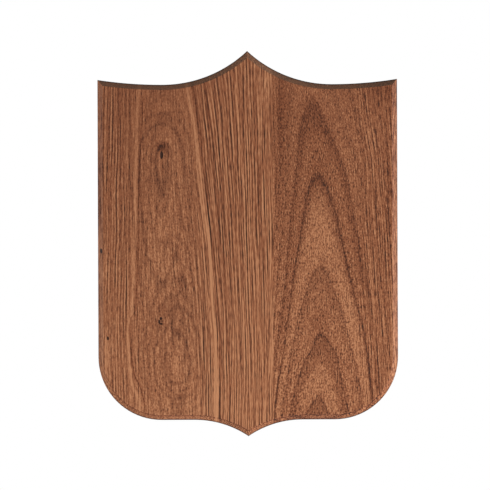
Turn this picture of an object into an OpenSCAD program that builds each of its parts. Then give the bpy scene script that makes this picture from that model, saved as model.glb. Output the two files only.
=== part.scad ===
// Shield plaque in walnut: two boards edge-glued with three biscuits, one chamfer round the
// front, and a steel keyhole hanger let into the back.
// X runs across and +Z up. +Y comes out of the back, towards the wall. The origin is the middle
// of the back face. Every piece is drawn lying on its back on the bench, front up, and stand()
// then stands it up.

/* [Shield] */
// Overall width
plaque_w = 177.8; // [145:0.1:230]
// Overall height, from the apex to the tip
plaque_h = 228.6; // [185:0.1:300]
// Thickness of the boards
plaque_t = 19; // [15.5:0.1:25]
// Width of the chamfer round the front, and its depth
chamfer = 3.2; // [1.5:0.1:5]

/* [Outline] */
// Drop from the apex to the two top corners
corner_drop = 16.9; // [14:0.1:22]
// Rise of a top corner above the lowest point of its shoulder
shoulder_rise = 3; // [1.5:0.1:5]
// Distance of a shoulder's lowest point from the centre line
shoulder_x = 50.3; // [42:0.1:60]
// Radius of the two lower corners
lower_corner_r = 37.5; // [25:0.1:40]
// Depth of the tip below the straight bottom edge
tip_drop = 9.8; // [7:0.1:15]
// Distance from the centre line to where the sweep down to the tip begins
tip_sweep_x = 32; // [24:0.1:34]

/* [Glued joint] */
// Distance of the glue line from the centre line
glue_x = 14.9; // [14:0.1:30]
// Length of a biscuit between its blunt ends
biscuit_l = 47; // [40:0.5:50]
// Width of a biscuit, half of it in each board
biscuit_w = 15; // [13:0.5:16]
// Thickness of a biscuit and of the slot that grips it
biscuit_t = 4; // [3:0.1:5]
// Room for glue between a biscuit's long edges and the bottoms of its slots
biscuit_gap = 0.5; // [0.3:0.1:1]
// Radius of the cutter that makes the slots
slot_cutter_r = 50; // [48:0.5:52]

/* [Keyhole hanger] */
// Length of the plate
hanger_l = 50.8; // [50:0.1:62]
// Width of the plate, whose ends are half round
hanger_w = 15.9; // [15:0.1:19]
// Thickness of the plate
hanger_t = 1.6; // [1.3:0.1:2]
// Depth of the plate's outer face below the back of the boards
hanger_sunk = 0.2; // [0.1:0.05:0.5]
// Gap between the edge of the plate and its housing
hanger_gap = 0.15; // [0.1:0.05:0.3]
// Distance from the apex to the middle of the plate
hanger_down = 38.5; // [35:0.1:60]
// Radius of the round hole that lets the wall screw's head in
entry_r = 4.75; // [3.9:0.05:5.8]
// Half the width of the slot that drops over the wall screw's neck
neck_r = 2.5; // [2:0.05:3]
// Distance of the entry hole below the middle of the plate
entry_drop = 5; // [4:0.1:6]
// Travel from the entry hole up to the end of the slot
hang_travel = 12; // [10:0.1:14.5]
// Depth of the pocket behind the plate, from the back of the boards
pocket_depth = 8; // [6.5:0.1:10]
// Room round the entry hole in the pocket behind it
pocket_room = 0.75; // [0.5:0.05:1]

/* [Hanger screws] */
// Radius over the threads
screw_r = 1.75; // [1.4:0.05:2.2]
// Radius of the flat head
screw_head_r = 3.45; // [3:0.05:4.2]
// Length from the top of the head to the point
screw_l = 12.7; // [10:0.1:14]
// Distance from a screw to the round end of the plate
screw_inset = 7.95; // [7:0.05:9]

/* [Hidden] */

$fn = 180;
over = 2;               // how far a cutter runs past what it cuts

half_w = plaque_w / 2;
half_h = plaque_h / 2;
low_y = half_h - corner_drop - shoulder_rise;   // height of the lowest points of the shoulders
flat_y = tip_drop - half_h;                     // height of the straight bottom edge

// Radius of the arc that sets off level and rises by rise over a distance run. It is a whole
// number of hundredths, so that arcs and straight lines meet without a sliver between them.
function arc_r(run, rise) = round((run * run + rise * rise) / (2 * rise) * 100) / 100;

apex_r = arc_r(shoulder_x, half_h - low_y);
shoulder_r = arc_r(half_w - shoulder_x, shoulder_rise);
sweep_r = arc_r(tip_sweep_x, tip_drop);
corner_x = half_w - lower_corner_r;
corner_y = flat_y + lower_corner_r;

// How far each arc turns, in degrees, from where it is level to its sharp corner.
apex_turn = asin(shoulder_x / apex_r);
shoulder_turn = asin((half_w - shoulder_x) / shoulder_r);
sweep_turn = asin(tip_sweep_x / sweep_r);

// Cutters run on past a sharp corner by this much, so that two of them mitre there.
mitre = 2.5 * chamfer;
function mitre_turn(r) = mitre / r * 180 / PI;

slot_z = (plaque_t - biscuit_t) / 2;
biscuit_blunt = 1.5;    // how much of each point of the lens is cut off square
biscuit_r = arc_r(biscuit_l / 2 + biscuit_blunt, biscuit_w / 2);
slot_depth = biscuit_w / 2 + biscuit_gap;

// The glue line runs from joint_low to joint_high, and each biscuit is in the middle of its share.
biscuit_count = 3;
joint_low = flat_y - sweep_r + sqrt(pow(sweep_r, 2) - pow(tip_sweep_x - glue_x, 2));
joint_high = low_y + apex_r - sqrt(pow(apex_r, 2) - pow(shoulder_x - glue_x, 2));
function biscuit_at(i) = joint_low + (joint_high - joint_low) * (i + 0.5) / biscuit_count;

hanger_y = half_h - hanger_down;
hanger_pitch = hanger_l - hanger_w;
screw_pitch = hanger_l - 2 * screw_inset;
entry_y = hanger_y - entry_drop;
neck_y = entry_y + hang_travel;
head_slope = tan(41);                           // an 82 degree flat head
head_depth = (screw_head_r - screw_r) / head_slope;
point_l = 3;
point_r = 0.2;                                  // radius of the blunted point
recess_w = 0.9;                                 // width of each arm of the driver's cross
recess_r = 2;                                   // reach of its arms at the top of the head
recess_depth = 2;

walnut = [0.50, 0.32, 0.23];
beech = [0.80, 0.64, 0.46];
zinc = [0.68, 0.69, 0.70];
steel = [0.78, 0.77, 0.72];

// Stands up what lies on its back on the bench.
module stand() {
    rotate([90, 0, 0]) children();
}

module both_sides() {
    children();
    mirror([1, 0, 0]) children();
}

// ---- Shield blank ----

// What the bandsaw takes off the right half of a square blank.
module sawn_away() {
    translate([shoulder_x, low_y + shoulder_r])
        intersection() {
            circle(shoulder_r);
            translate([0, -shoulder_r - over]) square([half_w, plaque_h]);
        }
    intersection() {
        translate([shoulder_x, low_y + apex_r]) circle(apex_r);
        translate([-over, low_y - over]) square([shoulder_x + over, plaque_h]);
    }
    difference() {
        translate([corner_x, flat_y - over]) square(lower_corner_r + over);
        translate([corner_x, corner_y]) circle(lower_corner_r);
    }
    translate([tip_sweep_x, -half_h - over]) square([half_w, tip_drop + over]);
    intersection() {
        translate([tip_sweep_x, flat_y - sweep_r]) circle(sweep_r);
        translate([-over, -half_h - over]) square([tip_sweep_x + over, plaque_h]);
    }
}

module blank() {
    linear_extrude(plaque_t)
        difference() {
            translate([-half_w, -half_h - over]) square([plaque_w, plaque_h + 2 * over]);
            both_sides() sawn_away();
        }
}

// Section of the cut that makes the chamfer. The sawn edge is at x = 0, and the wood is on its
// right when wood is 1, or on its left when it is -1.
module chamfer_section(wood) {
    reach = chamfer + over;
    polygon([
        [-wood * over, plaque_t + over],
        [-wood * over, plaque_t - reach],
        [wood * reach, plaque_t + over],
    ]);
}

// The chamfer cut along an arc of radius r. It starts at the angle from and goes on through turn.
// The wood is outside the arc when wood is 1.
module chamfer_arc(r, from, turn, wood) {
    rotate([0, 0, from])
        rotate_extrude(angle = turn)
            translate([r, 0]) chamfer_section(wood);
}

// The chamfer cut along a straight edge that runs along +Y, with the wood to its left.
module chamfer_straight(length) {
    rotate([90, 0, 180])
        linear_extrude(length) chamfer_section(1);
}

// The chamfer cut round the right half, a cutter for each arc and straight edge.
module chamfer_cut() {
    translate([shoulder_x, low_y + apex_r])
        chamfer_arc(apex_r, 270, -apex_turn - mitre_turn(apex_r), 1);
    translate([shoulder_x, low_y + shoulder_r])
        chamfer_arc(shoulder_r, 270, shoulder_turn + mitre_turn(shoulder_r), 1);
    translate([half_w, corner_y])
        chamfer_straight(half_h - corner_drop + mitre - corner_y);
    translate([corner_x, corner_y])
        chamfer_arc(lower_corner_r, 270, 90, -1);
    translate([tip_sweep_x, flat_y])
        rotate([0, 0, -90]) chamfer_straight(corner_x - tip_sweep_x);
    translate([tip_sweep_x, flat_y - sweep_r])
        chamfer_arc(sweep_r, 90, sweep_turn + mitre_turn(sweep_r), 1);
}

// ---- Boards ----

// The slots in one board. The round cutter stands on the open side of the joint: 1 is the right.
module biscuit_slots(open_side) {
    cutter_x = glue_x + open_side * (slot_cutter_r - slot_depth);
    for (i = [0:biscuit_count - 1])
        translate([cutter_x, biscuit_at(i), slot_z])
            cylinder(r = slot_cutter_r, h = biscuit_t);
}

// The part of the chamfered blank that lies between two distances from the centre line.
module board(from_x, to_x) {
    difference() {
        intersection() {
            blank();
            translate([from_x, -half_h - over, -over])
                cube([to_x - from_x, plaque_h + 2 * over, plaque_t + 2 * over]);
        }
        both_sides() chamfer_cut();
    }
}

// Outline of the plate and of its housing, grown by grow all round.
module hanger_outline(grow = 0) {
    r = hanger_w / 2 + grow;
    translate([-r, -hanger_pitch / 2]) square([2 * r, hanger_pitch]);
    for (end = [-1, 1])
        translate([0, end * hanger_pitch / 2]) circle(r);
}

// The housing for the plate, the pocket behind its keyhole and the holes that its screws cut.
module hanger_cuts() {
    floor_z = hanger_sunk + hanger_t;
    translate([0, hanger_y, -over])
        linear_extrude(floor_z + over) hanger_outline(hanger_gap);
    pocket_r = entry_r + pocket_room;
    translate([-pocket_r, entry_y, floor_z - over])
        cube([2 * pocket_r, hang_travel, pocket_depth - floor_z + over]);
    for (y = [entry_y, neck_y])
        translate([0, y, floor_z - over])
            cylinder(r = pocket_r, h = pocket_depth - floor_z + over);
    for (end = [-1, 1])
        translate([0, hanger_y + end * screw_pitch / 2, hanger_sunk]) screw_blank();
}

module left_board() {
    color(walnut) stand()
        difference() {
            board(-half_w - over, glue_x);
            biscuit_slots(1);
            hanger_cuts();
        }
}

module right_board() {
    color(walnut) stand()
        difference() {
            board(glue_x, half_w + over);
            biscuit_slots(-1);
        }
}

// ---- Biscuits ----

module biscuit(i) {
    color(beech) stand()
        translate([glue_x, biscuit_at(i), slot_z])
            intersection() {
                translate([biscuit_w / 2 - biscuit_r, 0, 0]) cylinder(r = biscuit_r, h = biscuit_t);
                translate([biscuit_r - biscuit_w / 2, 0, 0]) cylinder(r = biscuit_r, h = biscuit_t);
                translate([-biscuit_w, -biscuit_l / 2, -over])
                    cube([2 * biscuit_w, biscuit_l, biscuit_t + 2 * over]);
            }
}

module lower_biscuit() {
    biscuit(0);
}

module middle_biscuit() {
    biscuit(1);
}

module upper_biscuit() {
    biscuit(2);
}

// ---- Keyhole hanger ----

module keyhole_plate() {
    color(zinc) stand()
        difference() {
            translate([0, hanger_y, hanger_sunk]) linear_extrude(hanger_t) hanger_outline();
            translate([0, entry_y, -over]) cylinder(r = entry_r, h = hanger_t + 2 * over);
            translate([0, neck_y, -over]) cylinder(r = neck_r, h = hanger_t + 2 * over);
            translate([-neck_r, entry_y, -over]) cube([2 * neck_r, hang_travel, hanger_t + 2 * over]);
            for (end = [-1, 1])
                translate([0, hanger_y + end * screw_pitch / 2, hanger_sunk]) screw_blank();
        }
}

// ---- Screws ----

// The full form of a flat-head screw, head down and point up, as it fills the plate and the wood.
module screw_blank() {
    cylinder(r1 = screw_head_r, r2 = screw_r, h = head_depth);
    cylinder(r = screw_r, h = screw_l - point_l);
    translate([0, 0, screw_l - point_l]) cylinder(r1 = screw_r, r2 = point_r, h = point_l);
}

// The cross-shaped recess for the driver.
module driver_recess() {
    intersection() {
        cylinder(r1 = recess_r, r2 = recess_w / 2, h = recess_depth);
        for (turn = [45, 135])
            rotate([0, 0, turn])
                translate([-screw_head_r, -recess_w / 2, -over])
                    cube([2 * screw_head_r, recess_w, recess_depth + over]);
    }
}

module hanger_screw(end) {
    color(steel) stand()
        translate([0, hanger_y + end * screw_pitch / 2, hanger_sunk])
            difference() {
                screw_blank();
                driver_recess();
            }
}

module upper_screw() {
    hanger_screw(1);
}

module lower_screw() {
    hanger_screw(-1);
}

left_board();
right_board();
lower_biscuit();
middle_biscuit();
upper_biscuit();
keyhole_plate();
upper_screw();
lower_screw();
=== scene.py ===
"""A shield plaque in walnut: two boards glued edge to edge, with a keyhole hanger let into the back."""
import math

import bmesh
import bpy
from mathutils import Matrix, Vector, geometry


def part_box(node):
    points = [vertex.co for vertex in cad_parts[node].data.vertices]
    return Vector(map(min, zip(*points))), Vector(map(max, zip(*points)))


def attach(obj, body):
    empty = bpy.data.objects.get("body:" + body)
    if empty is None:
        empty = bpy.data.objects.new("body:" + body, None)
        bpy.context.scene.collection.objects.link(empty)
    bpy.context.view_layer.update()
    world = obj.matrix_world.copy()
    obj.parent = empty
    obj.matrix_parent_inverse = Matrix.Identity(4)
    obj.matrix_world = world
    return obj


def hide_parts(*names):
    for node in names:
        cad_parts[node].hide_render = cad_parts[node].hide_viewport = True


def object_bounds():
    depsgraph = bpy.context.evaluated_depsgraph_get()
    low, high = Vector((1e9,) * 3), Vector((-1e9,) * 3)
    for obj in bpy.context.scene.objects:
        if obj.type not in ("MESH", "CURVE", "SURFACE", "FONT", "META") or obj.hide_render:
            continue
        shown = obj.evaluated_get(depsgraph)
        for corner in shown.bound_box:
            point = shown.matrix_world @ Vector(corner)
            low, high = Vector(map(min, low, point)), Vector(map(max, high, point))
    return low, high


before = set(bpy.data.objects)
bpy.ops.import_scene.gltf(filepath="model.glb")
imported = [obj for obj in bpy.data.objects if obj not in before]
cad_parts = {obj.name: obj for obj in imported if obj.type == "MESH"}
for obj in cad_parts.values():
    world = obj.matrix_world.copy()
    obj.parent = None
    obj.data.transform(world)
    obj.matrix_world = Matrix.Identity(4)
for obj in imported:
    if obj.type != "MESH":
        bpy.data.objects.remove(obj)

cad_low, cad_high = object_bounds()

# ---------------------------------------------------------------------------------------------
# The studio: a white room, dimmer overhead, with a pale floor well below the plaque. A soft lamp
# stands far round to the right, a weak one to the left, and a low one in front.
# ---------------------------------------------------------------------------------------------
MM = 0.001                                  # the boards are worked out in millimetres

room = bpy.data.worlds.new("White room")
room.use_nodes = True
sky = room.node_tree.nodes["Background"]
toward = room.node_tree.nodes.new("ShaderNodeTexCoord")
height = room.node_tree.nodes.new("ShaderNodeSeparateXYZ")
dim = room.node_tree.nodes.new("ShaderNodeMapRange")
dim.inputs["From Min"].default_value = 0.25
dim.inputs["From Max"].default_value = 0.8
dim.inputs["To Min"].default_value = 1.0
dim.inputs["To Max"].default_value = 0.25
room.node_tree.links.new(toward.outputs["Generated"], height.inputs[0])
room.node_tree.links.new(height.outputs["Z"], dim.inputs["Value"])
room.node_tree.links.new(dim.outputs["Result"], sky.inputs["Strength"])
sky.inputs["Color"].default_value = (1.0, 1.0, 1.0, 1.0)
bpy.context.scene.world = room
bpy.context.scene.view_settings.view_transform = "Standard"

FLOOR_RADIUS = 2.6
FLOOR_DROP = 0.6


def pale_floor():
    """A round sheet of matt white board with a faintly mottled face."""
    sheet = bmesh.new()
    bmesh.ops.create_circle(sheet, cap_ends=True, segments=96, radius=FLOOR_RADIUS,
                            matrix=Matrix.Translation((0, 0, -FLOOR_DROP)))
    mesh = bpy.data.meshes.new("floor")
    sheet.to_mesh(mesh)
    sheet.free()
    floor = bpy.data.objects.new("floor", mesh)
    bpy.context.collection.objects.link(floor)
    paint = bpy.data.materials.new("Matt white floor")
    paint.use_nodes = True
    nodes, links = paint.node_tree.nodes, paint.node_tree.links
    mottle = nodes.new("ShaderNodeTexNoise")
    mottle.inputs["Scale"].default_value = 3.0
    tint = nodes.new("ShaderNodeMapRange")
    tint.inputs["To Min"].default_value = 0.88
    tint.inputs["To Max"].default_value = 0.92
    links.new(mottle.outputs["Fac"], tint.inputs["Value"])
    links.new(tint.outputs["Result"], nodes["Principled BSDF"].inputs["Base Color"])
    nodes["Principled BSDF"].inputs["Roughness"].default_value = 0.9
    mesh.materials.append(paint)


def soft_lamp(name, round_to_right, above, distance, size, watts, warmth=1.0, aim=(0, 0, 0)):
    """A square soft lamp, placed by its angles from straight in front of the plaque."""
    light = bpy.data.lights.new(name, "AREA")
    light.shape = "SQUARE"
    light.size = size
    light.energy = watts
    light.color = (1.0, warmth, warmth * warmth)
    lamp = bpy.data.objects.new(name, light)
    bpy.context.collection.objects.link(lamp)
    turn, tilt = math.radians(round_to_right), math.radians(above)
    away = Vector((math.sin(turn) * math.cos(tilt), -math.cos(turn) * math.cos(tilt), math.sin(tilt)))
    lamp.location = Vector(aim) + away * distance
    lamp.rotation_euler = away.to_track_quat("Z", "Y").to_euler()


pale_floor()
soft_lamp("Key lamp", round_to_right=72, above=-4, distance=1.2, size=0.5, watts=15)
soft_lamp("Fill lamp", round_to_right=-75, above=0, distance=1.2, size=0.5, watts=4.2)
soft_lamp("Low lamp", round_to_right=10, above=-62, distance=0.55, size=0.3, watts=1.6,
          warmth=0.95, aim=(0, 0, -0.06))

# ---------------------------------------------------------------------------------------------
# The camera: a long lens straight in front, on the level, with the plaque hung a touch off true.
# ---------------------------------------------------------------------------------------------
VIEW_WIDTH = 290.2 * MM                     # what the picture takes in at the plaque's face
AIM_X, AIM_Z = -1.67 * MM, -0.85 * MM
HUNG_OFF_TRUE = math.radians(0.22)

lens = bpy.data.cameras.new("Camera")
lens.lens = 200
lens.sensor_width = 36
camera = bpy.data.objects.new("Camera", lens)
bpy.context.collection.objects.link(camera)
camera.location = (AIM_X, cad_low.y - VIEW_WIDTH * lens.lens / lens.sensor_width, AIM_Z)
camera.rotation_euler = (math.radians(90), HUNG_OFF_TRUE, 0)
bpy.context.scene.camera = camera

# ---------------------------------------------------------------------------------------------
# The walnut boards. Each is flat-sawn black walnut, planed and sanded, left with a dull oil
# finish. After gluing, the shield was sawn out and its front edge cut to a 45 degree chamfer.
# ---------------------------------------------------------------------------------------------
board_low, board_high = (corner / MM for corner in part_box("right_board"))
GLUE_X = board_low.x                        # the glue line, a little right of the middle
HALF_W = board_high.x
HALF_H = cad_high.z / MM
THICK = -cad_low.y / MM
CORNER_DROP = 16.9                          # from the top point down to the shoulder corners
SHOULDER_RISE = 3.0                         # from the lowest of the top edge up to those corners
SHOULDER_X = 50.3                           # how far out the top edge is lowest
CORNER_R = 37.5
TIP_DROP = 9.8                              # how far the bottom point hangs below the flat
TIP_X = 32.0                                # how far out the sweep to the bottom point starts
CHAMFER = 3.2
RIM_FLAT = 1.6                              # a close line this far in keeps the faces flat to their edges
EDGE_EASING = [0.45, 0.35, 0.3]             # back edge, side to chamfer, chamfer to face
SEAM_OUT = 14.9                             # the outline's points are spaced anew this far out
SEAM_STEPS = 60                             # points down the glued edge
FRONT_SPACING, BACK_SPACING = 3.0, 6.0      # of the points inside the two faces

LOW_Z = HALF_H - CORNER_DROP - SHOULDER_RISE
FLAT_Z = -HALF_H + TIP_DROP
CORNER_X, CORNER_Z = HALF_W - CORNER_R, FLAT_Z + CORNER_R


def sweep_radius(reach, rise):
    """The radius of an arc that leaves level and climbs by rise over reach."""
    return (reach * reach + rise * rise) / (2 * rise)


POINT_R = sweep_radius(SHOULDER_X, HALF_H - LOW_Z)
SHOULDER_R = sweep_radius(HALF_W - SHOULDER_X, SHOULDER_RISE)
TIP_R = sweep_radius(TIP_X, TIP_DROP)


def top_z(x, inset):
    """The height of the top edge at x, after the outline has been drawn in by inset."""
    out = abs(x) - SHOULDER_X
    radius = POINT_R if out < 0 else SHOULDER_R
    return LOW_Z + radius - math.sqrt((radius + inset) ** 2 - out ** 2)


def bottom_z(x, inset):
    """The height of the bottom edge at x, out to where the round corners start."""
    out = TIP_X - abs(x)
    if out <= 0:
        return FLAT_Z + inset
    return FLAT_Z - TIP_R + math.sqrt((TIP_R + inset) ** 2 - out ** 2)


def steps(start, end, count):
    """count even steps from start to end, leaving out start itself."""
    return [start + (end - start) * i / count for i in range(1, count + 1)]


def board_outline(side, inset):
    """One board's outline from the glue line's top round to its bottom. side is 1 right, -1 left."""
    corner_x = HALF_W - inset
    along_top = [GLUE_X] + ([] if side > 0 else steps(GLUE_X, 0, 6) + steps(0, -SEAM_OUT, 6))
    along_top += steps(side * SEAM_OUT, side * SHOULDER_X, 14)
    along_top += steps(side * SHOULDER_X, side * corner_x, 14)
    points = [(x, top_z(x, inset)) for x in along_top]
    points += [(side * corner_x, z) for z in steps(top_z(corner_x, inset), CORNER_Z, 24)]
    for angle in steps(0, math.pi / 2, 20):
        reach = CORNER_R - inset
        points.append((side * (CORNER_X + reach * math.cos(angle)), CORNER_Z - reach * math.sin(angle)))
    along_bottom = steps(side * CORNER_X, side * TIP_X, 5) + steps(side * TIP_X, side * SEAM_OUT, 7)
    along_bottom += [] if side > 0 else steps(-SEAM_OUT, 0, 6) + steps(0, GLUE_X, 6)
    return points + [(x, bottom_z(x, inset)) for x in along_bottom]


def eased(corners, radii, easing_steps=4, hold=0.35):
    """A profile whose corners are sanded round, with a close line each side to keep its flats flat."""
    profile = [corners[0]]
    for before, corner, after, radius in zip(corners, corners[1:], corners[2:], radii):
        back, on = (Vector(before) - Vector(corner)), (Vector(after) - Vector(corner))
        turn = math.pi - back.angle(on)
        cut = radius * math.tan(turn / 2)
        back.normalize()
        on.normalize()
        start, end = Vector(corner) + back * cut, Vector(corner) + on * cut
        profile.append(tuple(start + back * hold))
        for i in range(easing_steps + 1):
            t = i / easing_steps
            profile.append(tuple(start * (1 - t) ** 2 + Vector(corner) * 2 * t * (1 - t) + end * t * t))
        profile.append(tuple(end + on * hold))
    return profile + [corners[-1]]


def smooth_shaded(piece, angle=32):
    """Smooth shading that stays crisp at real corners and flat on the flats."""
    piece.data.shade_smooth()
    piece.data.set_sharp_from_angle(angle=math.radians(angle))
    weigh = piece.modifiers.new("Flat faces stay flat", "WEIGHTED_NORMAL")
    weigh.keep_sharp = True
    weigh.weight = 90


def made(name, points, faces, scale=MM):
    """A new piece from points in millimetres and faces, with every face turned outwards."""
    mesh = bpy.data.meshes.new(name)
    mesh.from_pydata([Vector(p) * scale for p in points], [], faces)
    shell = bmesh.new()
    shell.from_mesh(mesh)
    bmesh.ops.remove_doubles(shell, verts=shell.verts, dist=1e-7)
    bmesh.ops.recalc_face_normals(shell, faces=shell.faces)
    shell.to_mesh(mesh)
    shell.free()
    piece = bpy.data.objects.new(name, mesh)
    bpy.context.collection.objects.link(piece)
    return piece


SLIVER = 0.002 * MM                         # anything narrower is closed up


def carve(piece, cutters):
    """Cuts each cutter's shape out of the piece, mends the slivers this leaves, and bins the cutters."""
    for cutter in cutters:
        cut = piece.modifiers.new("Cut", "BOOLEAN")
        cut.operation, cut.solver, cut.object = "DIFFERENCE", "EXACT", cutter
    bpy.context.view_layer.update()
    shaped = piece.evaluated_get(bpy.context.evaluated_depsgraph_get())
    mesh = bpy.data.meshes.new_from_object(shaped)
    shell = bmesh.new()
    shell.from_mesh(mesh)
    bmesh.ops.remove_doubles(shell, verts=shell.verts, dist=SLIVER)
    bmesh.ops.dissolve_degenerate(shell, edges=shell.edges, dist=SLIVER)
    bmesh.ops.holes_fill(shell, edges=[edge for edge in shell.edges if edge.is_boundary], sides=8)
    bmesh.ops.recalc_face_normals(shell, faces=shell.faces)
    shell.to_mesh(mesh)
    shell.free()
    piece.modifiers.clear()
    piece.data = mesh
    for cutter in cutters:
        bpy.data.objects.remove(cutter)


def stacked(name, rings):
    """A closed solid from rings of equal count, each a list of (x, y, z) in millimetres."""
    count = len(rings[0])
    points = [p for ring in rings for p in ring]
    faces = [tuple(range(count)), tuple(range(len(points) - count, len(points)))]
    for level in range(len(rings) - 1):
        for i in range(count):
            near, beside = level * count + i, level * count + (i + 1) % count
            faces.append((near, beside, near + count))
            faces.append((beside, beside + count, near + count))
    return made(name, points, faces)


def round_slot(radius, low, high, y, count=48):
    """A round-ended slot's outline at depth y, from the height low to high between its centres."""
    outline = []
    for i in range(count + 2):
        turn = math.tau * (i if i <= count / 2 else i - 1) / count
        centre = high if i <= count / 2 else low
        outline.append((radius * math.cos(turn), y, centre + radius * math.sin(turn)))
    return outline


def board(name, side, pits):
    """A board's mesh: eased rings round its edge, a sanded face with small pits, a flat back."""
    rim = eased([(RIM_FLAT, 0), (0, 0), (0, -(THICK - CHAMFER)), (CHAMFER, -THICK),
                 (CHAMFER + RIM_FLAT, -THICK)], EDGE_EASING)
    rings = [[(x, y, z) for x, z in board_outline(side, inset)] for inset, y in rim]
    count = len(rings[0])
    points = [p for ring in rings for p in ring]
    faces = []
    for level in range(len(rings) - 1):
        for i in range(count - 1):
            a = level * count + i
            faces.append((a, a + 1, a + 1 + count, a + count))
    # the glued edge: each ring's two ends, joined up the front and down the back
    tops = [level * count for level in range(len(rings))]
    bottoms = [level * count + count - 1 for level in range(len(rings))]
    seam_rows = {}
    for ends in (0, len(rings) - 1):
        y = rings[ends][0][1]
        start, end = rings[ends][0][2], rings[ends][-1][2]
        seam_rows[ends] = list(range(len(points), len(points) + SEAM_STEPS - 1))
        points += [(GLUE_X, y, z) for z in steps(start, end, SEAM_STEPS)[:-1]]
    front, back = seam_rows[len(rings) - 1], seam_rows[0]
    faces.append(tuple(tops + front + bottoms[::-1] + back[::-1]))

    def fill(ring_level, seam, spacing, keep_pits):
        """Fills one flat side with even triangles, closer together around the pits."""
        rim_points = list(range(ring_level * count, ring_level * count + count)) + seam[::-1]
        flat = [Vector((points[i][0], points[i][2])) for i in rim_points]
        y = points[rim_points[0]][1]
        inner = []
        row_height = spacing * 0.8660254    # so that the triangles have equal sides
        for row in range(int(2 * HALF_H / row_height)):
            for column in range(int(HALF_W / spacing) + 4):
                x = GLUE_X + side * (column + 0.5 * (row % 2) + 0.6) * spacing
                z = -HALF_H + row * row_height
                inner.append((x, z))
        for pit_x, pit_z, half_width, half_height, _ in keep_pits:
            for ring in range(1, 13):       # twelve rings of points, out past twice the pit's size
                reach = ring / 5
                for k in range(6 + 3 * ring):
                    angle = (k + 0.5 * (ring % 2)) * math.tau / (6 + 3 * ring)
                    inner.append((pit_x + reach * half_width * math.cos(angle),
                                  pit_z + reach * half_height * math.sin(angle)))
            inner.append((pit_x, pit_z))
        edge = CHAMFER + RIM_FLAT + 0.45 * spacing
        for x, z in inner:
            inside = side * (x - GLUE_X) > 0.45 * spacing and abs(x) < HALF_W - edge
            inside = inside and z < top_z(x, edge)
            if abs(x) < CORNER_X:
                inside = inside and z > bottom_z(x, edge)
            elif z < CORNER_Z:
                inside = inside and math.hypot(abs(x) - CORNER_X, z - CORNER_Z) < CORNER_R - edge
            if inside:
                flat.append(Vector((x, z)))
        border = [(i, (i + 1) % len(rim_points)) for i in range(len(rim_points))]
        spots, _, triangles, origins, _, _ = geometry.delaunay_2d_cdt(flat, border, [], 1, 1e-5)
        place = {}
        for new, old in enumerate(origins):
            if old and old[0] < len(rim_points):
                place[new] = rim_points[old[0]]
            else:
                sink = 0.0
                for pit_x, pit_z, half_width, half_height, depth in keep_pits:
                    reach = math.hypot((spots[new].x - pit_x) / half_width,
                                       (spots[new].y - pit_z) / half_height)
                    sink += depth * math.exp(-reach * reach * 1.6)
                place[new] = len(points)
                points.append((spots[new].x, y + sink, spots[new].y))
        faces.extend(tuple(place[i] for i in triangle) for triangle in triangles)

    fill(len(rings) - 1, front, FRONT_SPACING, pits)
    fill(0, back, BACK_SPACING, [])
    return made(name, points, faces)


class Grain:
    """A number worked out at every point of the wood, so that sums of grain read as on paper."""

    tree = None                             # the material that is being made

    def __init__(self, source):
        self.source = source

    @staticmethod
    def node(kind, *sources, **settings):
        node = Grain.tree.nodes.new("ShaderNode" + kind)
        for key, value in settings.items():
            setattr(node, key, value)
        for place, source in enumerate(sources):
            source = source.source if isinstance(source, Grain) else source
            if isinstance(source, bpy.types.NodeSocket):
                Grain.tree.links.new(source, node.inputs[place])
            else:
                node.inputs[place].default_value = source
        return node

    def math(self, operation, *others):
        return Grain(Grain.node("Math", self, *others, operation=operation).outputs[0])

    def __add__(self, other):
        return self.math("ADD", other)

    def __sub__(self, other):
        return self.math("SUBTRACT", other)

    def __rsub__(self, other):
        return self * -1.0 + other

    def __mul__(self, other):
        return self.math("MULTIPLY", other)

    def __truediv__(self, other):
        return self.math("DIVIDE", other)

    def ramp(self, start, end, low=0.0, high=1.0):
        """Goes softly from low to high as the number goes from start to end."""
        if start > end:
            start, end, low, high = end, start, high, low
        shape = Grain.node("MapRange", self, start, end, low, high, interpolation_type="SMOOTHSTEP")
        return Grain(shape.outputs[0])

    def near(self, centre, width):
        """1 at centre, falling softly to nothing a few widths away."""
        away = (self - centre) / width
        return (away * away * -1.0).math("EXPONENT")

    def drawn(self, points):
        """Reads the number off a smooth line through the given (number, value) points."""
        starts, values = [p[0] for p in points], [p[1] for p in points]
        first, span = min(starts), max(starts) - min(starts)
        low, rise = min(values), max(values) - min(values)
        place = (self - first) / span
        node = Grain.node("FloatCurve", 1.0, place)
        curve = node.mapping.curves[0]
        curve.points[0].location = (0.0, (values[0] - low) / rise)
        curve.points[1].location = (1.0, (values[-1] - low) / rise)
        for start, value in points[1:-1]:
            curve.points.new((start - first) / span, (value - low) / rise)
        node.mapping.update()
        return Grain(node.outputs[0]) * rise + low


def started(name):
    """A new material, with the place of each of its points in millimetres."""
    material = bpy.data.materials.new(name)
    material.use_nodes = True
    Grain.tree = material.node_tree
    place = Grain.node("SeparateXYZ", Grain.node("TexCoord").outputs["Object"])
    return [material] + [Grain(output) / MM for output in place.outputs]


def surfaced(material, colour, roughness, relief, depth, strength=1.0):
    """Gives a material its colour, roughness and relief, depth millimetres deep."""
    finish, links = material.node_tree.nodes["Principled BSDF"], material.node_tree.links
    bump = Grain.node("Bump")
    bump.inputs["Distance"].default_value = depth * MM
    bump.inputs["Strength"].default_value = strength
    links.new(colour, finish.inputs["Base Color"])
    links.new(roughness.source, finish.inputs["Roughness"])
    links.new(relief.source, bump.inputs["Height"])
    links.new(bump.outputs["Normal"], finish.inputs["Normal"])
    return finish


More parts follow.
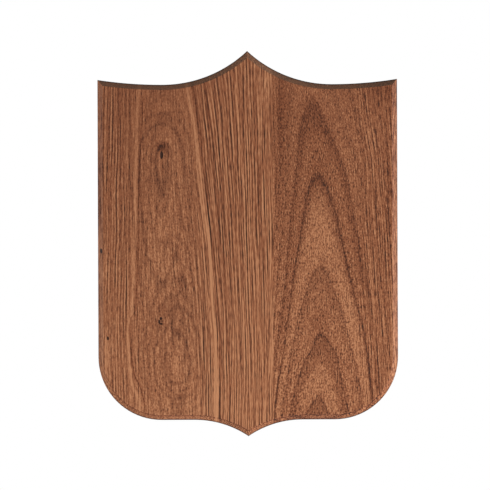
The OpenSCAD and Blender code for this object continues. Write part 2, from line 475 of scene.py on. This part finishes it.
def mottle(across, deep, along, seed, detail=2.0, roughness=0.5):
    """Soft random variation, -1 to 1, over lengths already divided out of the three numbers."""
    place = Grain.node("CombineXYZ", across + seed * 7.31, deep + seed * 3.17, along + seed * 5.93)
    cloud = Grain.node("TexNoise", place.outputs[0], noise_dimensions="3D", normalize=True)
    cloud.inputs["Scale"].default_value = 1.0
    cloud.inputs["Detail"].default_value = detail
    cloud.inputs["Roughness"].default_value = roughness
    return (Grain(cloud.outputs[0]) - 0.5) * 2.0


def pores(across, deep, along, size, seed):
    """Long open pores as soft dark dashes, 0 between them and 1 at their middle."""
    place = Grain.node("CombineXYZ", across + seed * 11.3, deep + seed * 4.7, along + seed * 9.1)
    cells = Grain.node("TexVoronoi", place.outputs[0], voronoi_dimensions="3D", feature="F1")
    cells.inputs["Scale"].default_value = 1.0
    return Grain(cells.outputs["Distance"]).ramp(size, size * 0.35)


def linear(red, green, blue):
    """A colour given as a painter's 0 to 255 values, as the light it sends back."""
    def lit(value):
        value /= 255
        return value / 12.92 if value <= 0.04045 else ((value + 0.055) / 1.055) ** 2.4
    return lit(red), lit(green), lit(blue), 1.0


ROOM_LIGHT = 1.52                           # how much more light the face gets than in a white room
FACE_GLOSS = 0.012                          # what the finish itself sends back, on any wood
WALNUT_TONES = [                            # from the darkest pore to the palest streak
    (0.00, (62, 37, 30)), (0.16, (96, 54, 38)), (0.32, (121, 71, 49)), (0.50, (145, 89, 62)),
    (0.66, (162, 104, 73)), (0.82, (178, 119, 85)), (1.00, (204, 143, 103))]
PORE_GREY = (76, 59, 50)
KNOT_BLACK = (36, 24, 20)
DRY_AND_SHEEN_GREY = (124, 104, 88)                   # end grain that the oil has sunk away from, and a painted sheen: laid on upward faces only
LINE_GAP = 0.9                              # from a fine dark line to the pale one beside it
PART_REACH = 24.0                           # the fibres part most a little further out than this


def oiled(shade):
    """A colour of the lit face as the wood's own colour, under the finish."""
    return [max(0.0, part - FACE_GLOSS) / ROOM_LIGHT for part in linear(*shade)[:3]] + [1.0]


def walnut(name, heart, lift, across, lean, first_ring, ring_width, bands, dark_rings, seed, stripy,
           speckled, swirls, eyes, streaks, patches_and_painted_light, knots):
    """Oiled walnut for one board, read off the tree it was sawn from.

    heart is the middle line of the figure, (height, x). lift is how the rings climb along it,
    (height, depth). across is how they fall away to either side, (distance, depth). lean is how
    far the fibres lean over, (height, x), about which x, over what width, and how much they part
    round the arches. bands is how the colour changes from ring to ring, (depth, shade), and
    dark_rings are its sharpest lines. stripy is how straight and striped the grain is, first
    everywhere and then from one x to another, and speckled is how strong its short dark flecks
    are. swirls bend the rings at a knot, eyes are rings that close in ovals and long arches,
    streaks follow a line of (height, x), and knots are small black pin knots. The patches are
    broad changes of colour: some are the wood's own, and some are painted shade and painted
    light that stand in for how the lamps fall across the face.
    """
    material, x, y, z = started(name)
    deep = y + THICK

    # the tree's own rings, bent a little by the way it grew
    bend = mottle(x / 30, deep / 30, z / 95, seed) * 1.6
    ripple = mottle(x / 8, deep / 8, z / 34, seed + 1) * 0.45
    from_heart = x + bend + ripple - z.drawn(heart)
    climb = z.drawn(lift)
    depth = climb + from_heart.drawn(across) + deep * 0.8
    # fibres run up the board, leaning with the rings where the rings stand steep
    square = from_heart * from_heart
    lean_path, lean_x, lean_width, spread = lean
    fibre = x + bend + ripple - z.drawn(lean_path) * x.near(lean_x, lean_width)
    fibre = fibre + climb * from_heart * square * spread / (square * square + PART_REACH ** 4)
    for swirl_x, swirl_z, width, height, pull in swirls:
        depth = depth + x.near(swirl_x, width) * z.near(swirl_z, height) * pull
    depth = depth + mottle(x / 3.2, deep / 3.2, z / 9, seed + 2) * 0.12

    ring = (depth - first_ring) / ring_width
    grown = ring.math("FRACT")
    this_year = Grain(Grain.node("TexWhiteNoise", ring.math("FLOOR") + seed,
                                 noise_dimensions="1D").outputs["Value"])
    late_wood = grown.ramp(0.45, 0.93) * grown.ramp(1.0, 0.965)

    # colour: bands of rings, single rings, then ever finer streaks along the fibres
    stripe = Grain(0.0) + stripy[0]
    for start, end, share in stripy[1:]:
        stripe = stripe + x.ramp(start, end) * share
    # the z ramp paints the face lighter towards the bottom: partly the board's own colour along its
    # length, partly painted light for the stronger light low on the face
    tone = depth.drawn(bands) + z.ramp(60, -110) * 0.08 + 0.62
    # single rings show where they lie apart, and are lost among the fibres where they crowd
    apart = from_heart.math("ABSOLUTE").ramp(46, 26)
    ring_lines = late_wood * (this_year * 0.10 + 0.03) * apart
    for ring_depth, width, shade in dark_rings:
        ring_lines = ring_lines + depth.near(ring_depth, width) * shade
    for eye_x, eye_z, half_width, below, above, ovals in eyes:
        out = (x + bend * 0.6 - eye_x) / half_width
        up = z - eye_z
        up = up.math("MAXIMUM", 0.0) / above + up.math("MINIMUM", 0.0) / below
        oval = (out * out + up * up).math("SQRT") + mottle(x / 5, deep / 5, z / 12, seed + 19) * 0.10
        for size, width, shade in ovals:
            ring_lines = ring_lines + oval.near(size, width) * shade
    tone = tone + (this_year - 0.5) * apart * 0.06 - ring_lines
    tone = tone + mottle(ring * 3.5, deep / 12, z / 60, seed + 4, 2.0) * apart * 0.04
    tone = tone + mottle(x / 14, deep / 14, z / 60, seed + 6, 2.0) * 0.035
    crowded = mottle(fibre / 3.0, deep / 3.0, z / 110, seed + 16, 1.0)
    ridges = (fibre * 4.0 + crowded * 2.2).math("SINE")
    ridges = ridges * (mottle(fibre / 1.4, deep / 1.4, z / 40, seed + 17, 1.0) + 0.7)
    # each fine dark line has a pale one beside it
    beside = fibre + LINE_GAP
    lines = mottle(fibre / 0.46, deep / 0.46, z / 60, seed + 5, 0.0)
    lines = lines - mottle(beside / 0.46, deep / 0.46, z / 60, seed + 5, 0.0)
    lines = lines.ramp(-0.46, 0.46, -0.36, 0.36)
    threads = mottle(fibre / 0.50, deep / 0.50, z / 24, seed + 18, 0.0)
    threads = threads - mottle(beside / 0.50, deep / 0.50, z / 24, seed + 18, 0.0)
    strands = mottle(fibre / 0.55, deep / 0.55, z / 4.0, seed + 9, 0.0)
    specks = mottle(fibre / 0.62, deep / 0.62, z / 1.25, seed + 10, 1.0)
    fine = ridges * stripe * 0.11 + lines * stripe * 0.38 + threads * (stripe * 0.51 + 0.06)
    fine = fine + strands * (stripe * 0.12 + speckled * 0.36) + specks * (speckled * 0.76 - stripe * 0.56)
    # streaks wander up the board. The grain is calmer in the pale ones and toward the top
    wander = x + ripple + mottle(x / 4, deep / 4, z / 11, seed + 12) * 0.5
    calm = z.ramp(45, 100) * 0.2
    for path, width, shade in streaks:
        line = (wander - z.drawn(path)).near(0.0, width) * shade
        ends = z.ramp(path[0][0], path[0][0] + 8) * z.ramp(path[-1][0], path[-1][0] - 8)
        tone = tone + line * ends
        if shade > 0:
            calm = calm + line * ends * 1.6
    fine = fine * (1.0 - calm.math("MINIMUM", 0.7)) * 0.94
    tone = tone + fine
    for patch_x, patch_z, width, height, shade in patches_and_painted_light:
        tone = tone + x.near(patch_x, width) * z.near(patch_z, height) * shade

    # pores: big ones where the year's growth starts, fine ones everywhere, greyer than the wood
    open_wood = grown.ramp(0.7, 0.1, 0.45, 1.0)
    large = pores(x / 0.95, deep / 0.95, z / 6.5, 0.34, seed + 7) * open_wood
    small = pores(x / 0.62, deep / 0.62, z / 3.4, 0.30, seed + 8)
    opened = (large * 0.5 + small * 0.25 + fine.ramp(-0.05, -0.45)).math("MINIMUM", 1.0)
    tone = tone - (large + small * 0.5) * 0.10

    # the outer edges: end grain drinks the oil and goes dark, and cutter marks run along them
    faces = Grain.node("SeparateXYZ", Grain.node("TexCoord").outputs["Normal"])
    end_grain = Grain(faces.outputs["Z"]).math("ABSOLUTE").ramp(0.25, 0.72)
    machined = Grain(faces.outputs["Y"]).math("ABSOLUTE").ramp(0.97, 0.80)
    cutter_marks = mottle(x / 60, y / 0.38, z / 60, seed + 14, 2.0)
    tone = tone + machined * (cutter_marks * 0.20 + 0.02) - end_grain * 0.14
    # darker in a line along the lower chamfers, close to the face
    lower_edge_dark = y.near(-THICK + 0.45, 0.5) * Grain(faces.outputs["Z"]).ramp(-0.12, -0.5)
    # grey on the upward-facing chamfers only: partly end grain dried under the oil, partly a painted
    # greyish reflection
    top_edge_grey_and_sheen = Grain(faces.outputs["Z"]).ramp(0.25, 0.65) * machined
    tone = tone - lower_edge_dark * 0.24

    colour = Grain.node("ValToRGB", tone)
    stops = colour.color_ramp.elements
    stops[0].position, stops[1].position = WALNUT_TONES[0][0], WALNUT_TONES[-1][0]
    for position, _ in WALNUT_TONES[1:-1]:
        stops.new(position)
    for stop, (_, shade) in zip(stops, WALNUT_TONES):
        stop.color = oiled(shade)
    # a near-black line along the arris between chamfer and side, darkest on the end grain, mixed in with
    # the knots' black
    outer_arris_dark = y.near(-THICK + CHAMFER, 0.55) * (end_grain * 0.9 + 0.25)
    knots_and_arris_dark = outer_arris_dark * 0.75
    for knot_x, knot_z, width, height in knots:
        across_knot, up_knot = (x - knot_x) / width, (z - knot_z) / height
        from_knot = across_knot * across_knot + up_knot * up_knot
        knots_and_arris_dark = knots_and_arris_dark + (from_knot + mottle(x, y, z / 2, seed + 15) * 0.6).ramp(1.3, 0.5)

    def mixed(base, share, shade):
        """The colour so far, with a share of another shade in it."""
        mix = Grain.node("Mix", share, data_type="RGBA", blend_type="MIX")
        material.node_tree.links.new(base, mix.inputs[6])
        mix.inputs[7].default_value = oiled(shade)
        return mix.outputs[2]

    greyed = (opened * 0.46 + ring_lines * 0.9).math("MINIMUM", 0.8)
    face = mixed(colour.outputs["Color"], greyed, PORE_GREY)
    # the painted sheen: grey mixed into the upward-facing chamfers
    face = mixed(face, top_edge_grey_and_sheen * 0.5, DRY_AND_SHEEN_GREY)
    face = mixed(face, knots_and_arris_dark.math("MINIMUM", 0.92), KNOT_BLACK)
    sheen = opened * 0.2 - ring_lines * 0.3 + 0.52
    relief = mottle(x / 0.5, deep / 0.5, z / 20, seed + 5, 2.0) * 0.25 - large - small * 0.5
    finish = surfaced(material, face, sheen, relief, depth=0.12, strength=0.6)
    finish.inputs["Specular IOR Level"].default_value = 0.15
    return material


# -- what is cut into them: a slot for each biscuit, the plate's housing with a pocket for the wall
#    screw's head behind its keyhole, and the holes the plate's own screws make
BISCUITS = ["lower_biscuit", "middle_biscuit", "upper_biscuit"]
SLOT_CUTTER_R = 50.0
SLOT_DEPTH = 8.0
plate_low, plate_high = (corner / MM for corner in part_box("keyhole_plate"))
PLATE_R = plate_high.x
PLATE_OUT, PLATE_IN = plate_high.y, plate_low.y
HOUSING_GAP = 0.15
ENTRY_R, NECK_R = 4.75, 2.5                 # the keyhole's round hole and half its slot's width
ENTRY_Z = (plate_low.z + plate_high.z) / 2 - 5.0
NECK_Z = ENTRY_Z + 12.0
POCKET_R, POCKET_Y = ENTRY_R + 0.75, -8.0
SCREWS = ["upper_screw", "lower_screw"]
SCREW_R = 1.75
SCREW_POINT = 3.0


def biscuit_slots(side):
    """Thick discs that reach into one board's glued edge."""
    cutters = []
    for biscuit in BISCUITS:
        low, high = (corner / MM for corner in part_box(biscuit))
        centre_x, centre_z = GLUE_X - side * (SLOT_CUTTER_R - SLOT_DEPTH), (low.z + high.z) / 2
        cutters.append(stacked("slot cutter", [
            [(centre_x + x, y, centre_z + z) for x, _, z in round_slot(SLOT_CUTTER_R, 0, 0, y, 240)]
            for y in (low.y, high.y)]))
    return cutters


def hanger_cuts():
    """The housing, the pocket behind the keyhole and the two screw holes."""
    ends = plate_low.z + PLATE_R, plate_high.z - PLATE_R
    housing = [round_slot(PLATE_R + HOUSING_GAP, *ends, y, 96) for y in (1, PLATE_IN)]
    pocket = [round_slot(POCKET_R, ENTRY_Z, NECK_Z, y, 72) for y in (-1, POCKET_Y)]
    cutters = [stacked("housing", housing), stacked("pocket", pocket)]
    for screw in SCREWS:
        low, high = (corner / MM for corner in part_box(screw))
        centre_z = (low.z + high.z) / 2
        hole = [(2.2, -1.6), (SCREW_R, -2.16), (SCREW_R, low.y + SCREW_POINT), (0.2, low.y)]
        cutters.append(stacked("screw hole", [round_slot(radius, centre_z, centre_z, y, 36)
                                              for radius, y in hole]))
    return cutters


# -- the left board: a pin knot near the top, another low down, and an eye where a ring closes
LEFT_PITS = [(-50.8, 52.5, 1.1, 2.6, 0.35), (-52.0, -45.5, 0.9, 1.7, 0.35),
             (-83.1, -55.8, 0.6, 1.6, 0.2)]
left = board("walnut_left_board", -1, LEFT_PITS)
carve(left, biscuit_slots(-1) + hanger_cuts())
smooth_shaded(left)
left.data.materials.append(walnut(
    "Oiled walnut, left board",
    heart=[(-115, -42), (-94, -42.3), (-72, -43), (-58, -44.5), (-40, -44.8), (10, -45.8),
           (61, -47.8), (91, -50.5), (115, -52)],
    lift=[(-115, 1.6), (-102, 1.1), (-88, 0.8), (-72, 0.4), (-58, 0.35), (-40, 0.75), (-19, 1.5),
          (10, 2.3), (61, 3.4), (91, 4.7), (115, 5.6)],
    across=[(-50, 23.0), (-40, 15.0), (-30, 8.7), (-20, 3.9), (-10, 0.98), (0, 0), (10, 0.98),
            (20, 3.9), (30, 8.7), (40, 15.0), (50, 23.0), (60, 32.0), (70, 42.0)],
    lean=([(-115, 8), (-65, 7.5), (-37, 6.2), (-5, 3.8), (26, 1.0), (45, -0.9), (65, -2.4), (91, -4.8),
           (115, -7.5)], -29, 23, 18.0),
    first_ring=-0.85, ring_width=1.0, seed=3, speckled=0.82,
    stripy=(0.20, (-37, -22, 0.78), (-58, -74, 0.40)),
    dark_rings=[(3.85, 0.16, 0.06), (4.60, 0.14, 0.08)],
    bands=[(-2, 0.03), (0, 0.0), (4, 0.0), (5.5, 0.0), (8, -0.02), (20, 0.0), (50, 0.0)],
    swirls=[(-50.8, 50, 5.5, 10, -0.9), (-52, -46, 4.5, 7, -0.6), (-88, -60, 7, 14, 3.0),
            (-90, -8, 5, 9, 2.0)],
    eyes=[(-42, -72.5, 7.6, 10.5, 19,
           [(0.0, 0.45, -0.14), (0.62, 0.09, 0.07), (1.0, 0.10, 0.15), (1.45, 0.07, 0.08),
            (1.85, 0.09, 0.13), (2.25, 0.08, 0.08), (2.7, 0.10, 0.09)]),
          (-40.6, -36, 5.2, 34, 17, [(0.55, 0.22, 0.10), (1.0, 0.14, 0.12), (1.7, 0.14, 0.06)]),
          (-43, -12, 6.5, 40, 17, [(1.0, 0.10, 0.10), (1.6, 0.12, 0.06)]),
          (-50.8, 52, 4.6, 26, 6.5,
           [(0.75, 0.28, 0.20), (1.30, 0.12, 0.10), (2.0, 0.14, 0.06), (2.9, 0.16, 0.13),
            (3.9, 0.16, 0.07)])],
    streaks=[
        ([(-112, -19), (-65, -19.3), (-37, -20.8), (-5, -22.9), (26, -26.6), (45, -28.5), (65, -30.6),
          (75, -32.2), (91, -35.4), (110, -39)], 1.15, 0.30),
        ([(-112, -16.8), (-65, -17.0), (-37, -18.4), (-5, -20.4), (26, -24.1), (45, -26.0), (65, -28.0),
          (75, -29.8), (91, -31.9), (110, -34.5)], 0.6, -0.30),
        ([(-112, -11.0), (-65, -11.8), (-5, -15), (26, -18.5), (75, -23.0), (110, -26)], 0.6, -0.18),
        ([(-103, -64), (-94, -65.1), (-58, -71.1), (-40, -69), (10, -66.6), (61, -66), (91, -64.2),
          (105, -62)], 1.1, 0.24),
        ([(-103, -61), (-98, -61.4), (-87, -63.5), (-72, -68.4), (-61, -69.4), (-50, -70.2), (-39, -67),
          (-4, -65), (40, -64), (91, -61)], 0.40, -0.36),
        ([(-110, 14.3), (-72, 13.8), (-13, 12.6), (47, 10.8), (76, 8.4), (100, 12.6), (112, 14)],
         0.8, 0.14),
        ([(-112, -19.2), (-65, -19.4), (-37, -20.9), (-5, -22.8), (16, -25.2)], 0.55, 0.30)],
    # among these, the dark patch down the far left flank is painted shade and the broad pale patch along
    # the bottom is painted light, standing in for how the lamps fall across the face
    patches_and_painted_light=[(-50, 84, 30, 20, -0.06), (-39.5, -25, 3.2, 6, -0.08), (-52, -38, 2.0, 3.6, -0.18),
             (-50, 57.8, 3.2, 2.2, -0.26), (-52.3, 56.6, 0.9, 2.6, -0.25), (11, 95, 4, 12, 0.16),
             (-83, -64, 5, 9, 0.14), (-86, -16, 3, 12, 0.12), (-88, 40, 4, 60, -0.12),
             (-50.6, 47, 0.7, 4, -0.2), (-44, 45, 17, 60, 0.10), (-35, -80, 40, 50, 0.07),
             (-76, 80, 8, 40, -0.05), (6, 30, 7, 26, -0.04), (-53, -8, 9, 30, 0.08),
             (-38, -50, 9, 26, 0.06), (-45, -102, 42, 11, 0.09), (-4, -40, 8, 60, 0.02),
             (-42, -22, 22, 24, 0.07)],
    knots=[(-50.8, 52.6, 1.0, 2.5), (-51.6, -44.2, 0.9, 0.9), (-52.7, -46.0, 0.6, 1.4),
           (-51.4, -47.4, 0.9, 0.6), (-86.9, -4, 0.8, 1.6), (-83.1, -55.8, 0.6, 1.2)]))
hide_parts("left_board")
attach(left, "root")

# -- the right board: five tall pointed arches, one above another, with a pale one at mid height
right = board("walnut_right_board", 1, [])
carve(right, biscuit_slots(1))
smooth_shaded(right)
right.data.materials.append(walnut(
    "Oiled walnut, right board",
    heart=[(-115, 41), (-92, 42), (-54, 43), (-14, 43.2), (39.5, 43.2), (62, 41), (84, 39), (115, 38)],
    lift=[(-115, -5.75), (-92, -4.6), (-54, -2.3), (-14, 0.0), (39.5, 2.3), (84, 4.6), (115, 6.2)],
    across=[(-50, 24.0), (-40, 15.8), (-30, 9.0), (-22.5, 5.4), (-17.5, 3.0), (-13.5, 1.75),
            (-10, 0.95), (-5, 0.25), (0, 0.0), (5, 0.4), (10, 1.15), (15, 2.15), (20, 3.3),
            (25.3, 4.6), (35, 8.3), (46, 13.5), (55, 18.5)],
    lean=([(-115, -1), (-92, 0), (-54, 1), (39.5, 1.2), (62, -1), (84, -3), (115, -4)], 42, 40, 51.0),
    first_ring=0.0, ring_width=2.3, seed=20, speckled=1.14,
    stripy=(0.0, (58, 76, 0.68), (20, 15, 0.45)),
    dark_rings=[(4.6, 0.18, 0.07), (2.3, 0.12, 0.25), (0.0, 0.06, 0.22), (-2.3, 0.07, 0.28),
                (-4.6, 0.08, 0.18)],
    bands=[(-5.8, 0.0), (-4.9, -0.06), (-4.5, 0.02), (-3.9, 0.08), (-3.4, -0.02), (-2.7, -0.08),
           (-2.2, -0.06), (-1.7, -0.03), (-1.0, 0.0), (-0.2, 0.0), (0.9, 0.09), (1.6, 0.07), (2.0, -0.04),
           (2.4, -0.10), (3.2, -0.05), (4.2, -0.10), (4.6, -0.06), (5.0, 0.0), (6.5, 0.02), (8, -0.04),
           (10, 0.02), (26, 0.0)],
    swirls=[(35, -62, 5, 6, 0.35), (51, -68, 5, 7, -0.3), (37, 30, 5, 12, -0.15)], eyes=[], streaks=[],
    # among these, the dark patches down the far right flank and in its upper and lower corners are
    # painted shade, standing in for how the lamps fall across the face
    patches_and_painted_light=[(20, 80, 5, 24, -0.16), (84, 40, 5, 70, -0.16), (70, -10, 8, 40, -0.06),
             (42, -46, 5, 8, -0.12), (40, 70, 12, 20, -0.08), (44, 8, 8, 20, 0.08),
             (18, 42, 6, 24, -0.08), (78, -70, 14, 26, -0.08), (64, -42, 8, 20, 0.07),
             (78, 95, 14, 16, -0.22), (30, -100, 12, 8, -0.08), (22, 20, 10, 90, -0.04),
             (72, -60, 12, 22, 0.06)],
    knots=[]))
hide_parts("right_board")
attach(right, "root")

# ---------------------------------------------------------------------------------------------
# The biscuits: three lens-shaped slips of beech, pressed thin so that they swell in the glue and
# lock the two boards together. Their faces keep the waffle marks of the press.
# ---------------------------------------------------------------------------------------------
BISCUIT_BLUNT = 1.5                         # how much of each point of the lens is cut off square
WAFFLE, WAFFLE_DEPTH = 3.2, 0.09
FACE_RINGS = [0.04, 0.2, 0.35, 0.5, 0.62, 0.74, 0.84, 0.92, 0.97, 1.0]
RIM_FALL = {0.97: 0.08, 1.0: 0.45}          # how far the face has fallen away at its outer rings


def lens_outline(half_length, half_width, count=40):
    """A biscuit's outline: two arcs that would meet in points, cut off square just before."""
    reach = half_length + BISCUIT_BLUNT
    radius = (reach * reach + half_width * half_width) / (2 * half_width)
    outline = []
    for side in (1, -1):
        for i in range(count + 1):
            z = side * half_length * (2 * i / count - 1)
            outline.append((side * (math.sqrt(radius * radius - z * z) - radius + half_width), z))
    return outline


def pressed_beech():
    """Compressed beech: straight diagonal grain, short dark flecks and a dry, slightly woolly face."""
    material, x, y, z = started("Pressed beech")
    along, beside = (z + x) * 0.7071, (z - x) * 0.7071
    fibre = mottle(beside / 0.5, y / 0.5, along / 9, 41)
    flecks = pores(beside / 0.8, y / 0.8, along / 2.6, 0.30, 42)
    cloud = mottle(x / 9, y / 9, z / 9, 43)
    tone = fibre * 0.30 + cloud * 0.25 - flecks * 0.3 + 0.55
    colour = Grain.node("ValToRGB", tone)
    colour.color_ramp.elements[0].color = linear(142, 98, 66)
    colour.color_ramp.elements[1].color = linear(222, 184, 138)
    finish = surfaced(material, colour.outputs["Color"], fibre * 0.1 + 0.78, fibre * 0.5 - flecks,
                      depth=0.15)
    finish.inputs["Specular IOR Level"].default_value = 0.25
    return material


beech = pressed_beech()
for node in BISCUITS:
    low, high = (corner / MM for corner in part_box(node))
    middle, half = (low + high) / 2, (high - low) / 2
    rings = []
    for face in (1, -1):
        for share in FACE_RINGS[::face]:
            ring = []
            for x, z in lens_outline(half.z, half.x):
                x, z = x * share, z * share
                waffle = math.sin(math.tau * (x + z) / WAFFLE) * math.sin(math.tau * (x - z) / WAFFLE)
                sink = WAFFLE_DEPTH * max(0.0, waffle) if share < 0.9 else 0.0
                sink += RIM_FALL.get(share, 0.0)
                ring.append((middle.x + x, middle.y + face * (half.y - sink), middle.z + z))
            rings.append(ring)
    biscuit = stacked("beech_" + node, rings)
    smooth_shaded(biscuit, 50)
    biscuit.data.materials.append(beech)
    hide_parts(node)
    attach(biscuit, "root")

# ---------------------------------------------------------------------------------------------
# The keyhole hanger: a round-ended plate stamped from 1.6 mm steel and zinc plated, with a keyhole
# for the wall screw and a countersunk hole near each end. It is let in just below the back.
# ---------------------------------------------------------------------------------------------
SCREW_HEAD_R = 3.45
HEAD_SLOPE = math.tan(math.radians(41))     # an 82 degree flat head


def keyhole_outline(grow, y, count=40):
    """The keyhole's outline at depth y, grown all round by grow."""
    hole, slot = ENTRY_R + grow, NECK_R + grow
    start = math.asin(slot / hole)
    outline = []
    for i in range(count + 1):
        turn = start + (math.tau - 2 * start) * i / count
        outline.append((hole * math.sin(turn), y, ENTRY_Z + hole * math.cos(turn)))
    for i in range(count // 2 + 1):
        turn = math.tau * i / count
        outline.append((-slot * math.cos(turn), y, NECK_Z + slot * math.sin(turn)))
    return outline


def plated_steel(name, dull, bright, brushed, seed):
    """Bright zinc on steel: brushed one way, with faint clouds, a crystal spangle and fine scratches."""
    material, x, y, z = started(name)
    strokes = mottle(x / 0.22, y / 0.22, z / brushed, seed, 3.0)
    cloud = mottle(x / 5, y / 5, z / 7, seed + 1, 3.0, 0.6)
    turned = mottle((x + z) / 0.3, y / 0.3, (x - z) / 9, seed + 2, 0.0)
    scratches = turned.ramp(0.55, 0.75)
    spangle = Grain.node("TexVoronoi", Grain.node("CombineXYZ", x / 1.7, y / 1.7, z / 2.1).outputs[0])
    spangle.inputs["Scale"].default_value = 1.0
    crystal = Grain(Grain.node("SeparateColor", spangle.outputs["Color"]).outputs[0])
    tone = strokes * 0.22 + cloud * 0.35 + crystal * 0.14 + scratches * 0.25 + 0.45
    colour = Grain.node("ValToRGB", tone)
    colour.color_ramp.elements[0].color = linear(*dull)
    colour.color_ramp.elements[1].color = linear(*bright)
    roughness = cloud * 0.10 - scratches * 0.1 + strokes * 0.05 + 0.36
    finish = surfaced(material, colour.outputs["Color"], roughness, strokes + scratches, depth=0.02)
    finish.inputs["Metallic"].default_value = 1.0
    return material


plate_rim = [(0.30, PLATE_OUT), (0.12, PLATE_OUT - 0.05), (0.03, PLATE_OUT - 0.16),
             (0.0, PLATE_OUT - 0.35), (0.0, PLATE_IN + 0.15), (0.10, PLATE_IN)]
plate_ends = plate_low.z + PLATE_R, plate_high.z - PLATE_R
plate = stacked("zinc_keyhole_plate", [round_slot(PLATE_R - inset, *plate_ends, y, 96)
                                       for inset, y in plate_rim])
countersinks = []
for node in SCREWS:
    low, high = (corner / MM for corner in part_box(node))
    centre_z = (low.z + high.z) / 2
    foot_r = SCREW_HEAD_R - HEAD_SLOPE * (PLATE_OUT - PLATE_IN) - 0.02
    sink = [(SCREW_HEAD_R + 0.7, PLATE_OUT + 0.5), (SCREW_HEAD_R + 0.12, PLATE_OUT),
            (SCREW_HEAD_R - 0.05, PLATE_OUT - 0.08), (foot_r, PLATE_IN), (foot_r, PLATE_IN - 0.5)]
    countersinks.append(stacked("countersink", [round_slot(radius, centre_z, centre_z, y)
                                                for radius, y in sink]))
key = [(0.5, PLATE_OUT + 0.4), (0.16, PLATE_OUT), (0.04, PLATE_OUT - 0.08), (0.0, PLATE_OUT - 0.22),
       (0.0, PLATE_IN - 0.5)]
carve(plate, countersinks + [stacked("keyhole", [keyhole_outline(grow, y) for grow, y in key])])
smooth_shaded(plate, 40)
plate.data.materials.append(plated_steel("Zinc plated steel", (118, 120, 122), (206, 208, 208), 14, 51))
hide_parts("keyhole_plate")
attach(plate, "root")

# ---------------------------------------------------------------------------------------------
# The two screws that hold the plate: flat-headed wood screws with a cross recess, driven flush.
# The thread is rolled, right-handed, and runs out into the plain neck under the head.
# ---------------------------------------------------------------------------------------------
THREAD_PITCH = 1.6
THREAD_ROOT_R = 1.2
THREAD_COLUMNS = 32                         # points round the screw, and rings to one turn of thread
THREAD_FOOT = 0.42                          # half of the thread's width where it leaves the core
RECESS_R, RECESS_HALF_W, RECESS_DEPTH = 2.0, 0.45, 2.0


def screw_ring(centre_z, y, core, crest):
    """One ring of a screw at depth y. The thread stands out of its core as far as crest."""
    ring = []
    for i in range(THREAD_COLUMNS):
        turn = math.tau * i / THREAD_COLUMNS
        off_crest = abs((y / THREAD_PITCH - i / THREAD_COLUMNS) % 1.0 - 0.5) * THREAD_PITCH
        radius = core + (crest - core) * max(0.0, 1.0 - off_crest / THREAD_FOOT)
        ring.append((radius * math.sin(turn), y, centre_z + radius * math.cos(turn)))
    return ring


def recess_blade(centre_z, top_y, turn):
    """One of the driver's two crossed blades, tapering as it goes in."""
    rings = []
    for y, reach, half_width in ((top_y + 0.3, RECESS_R + 0.2, RECESS_HALF_W + 0.02),
                                 (top_y - 0.1, RECESS_R - 0.05, RECESS_HALF_W),
                                 (top_y - RECESS_DEPTH, RECESS_HALF_W, RECESS_HALF_W - 0.2)):
        corners = [(reach, half_width), (-reach, half_width), (-reach, -half_width), (reach, -half_width)]
        rings.append([(u * math.cos(turn) - v * math.sin(turn), y,
                       centre_z + u * math.sin(turn) + v * math.cos(turn)) for u, v in corners])
    return stacked("driver blade", rings)


screw_steel = plated_steel("Plated screw steel", (128, 124, 112), (214, 210, 196), 0.5, 61)
for node, driven in zip(SCREWS, (0.45, 1.02)):
    low, high = (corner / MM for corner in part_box(node))
    centre_z, top = (low.z + high.z) / 2, high.y
    neck_y = top - (SCREW_HEAD_R - SCREW_R) / HEAD_SLOPE
    shape = [(top, 1.0, 1.0), (top, 2.6, 2.6), (top - 0.01, 3.15, 3.15), (top - 0.04, 3.28, 3.28),
             (top - 0.12, 3.33, 3.33), (neck_y + 0.05, SCREW_R, SCREW_R), (neck_y - 0.1, 1.62, 1.62),
             (neck_y - 0.9, 1.60, 1.60), (neck_y - 1.1, THREAD_ROOT_R + 0.1, THREAD_ROOT_R + 0.1)]
    rings = [screw_ring(centre_z, *level) for level in shape]
    start_y = neck_y - 1.2
    for level in range(int((start_y - low.y) / THREAD_PITCH * THREAD_COLUMNS)):
        y = start_y - level * THREAD_PITCH / THREAD_COLUMNS
        taper = min(1.0, (y - low.y) / SCREW_POINT)
        run_out = min(1.0, (start_y - y) / THREAD_PITCH)
        core = THREAD_ROOT_R * taper ** 0.8 + 0.02
        thread = (SCREW_R - 0.01 - THREAD_ROOT_R) * taper ** 0.5 * run_out
        rings.append(screw_ring(centre_z, y, core, core + thread))
    rings.append(screw_ring(centre_z, low.y + 0.01, 0.02, 0.02))
    screw = stacked("steel_" + node, rings)
    carve(screw, [recess_blade(centre_z, top, driven), recess_blade(centre_z, top, driven + math.pi / 2)])
    smooth_shaded(screw, 35)
    screw.data.materials.append(screw_steel)
    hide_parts(node)
    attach(screw, "root")
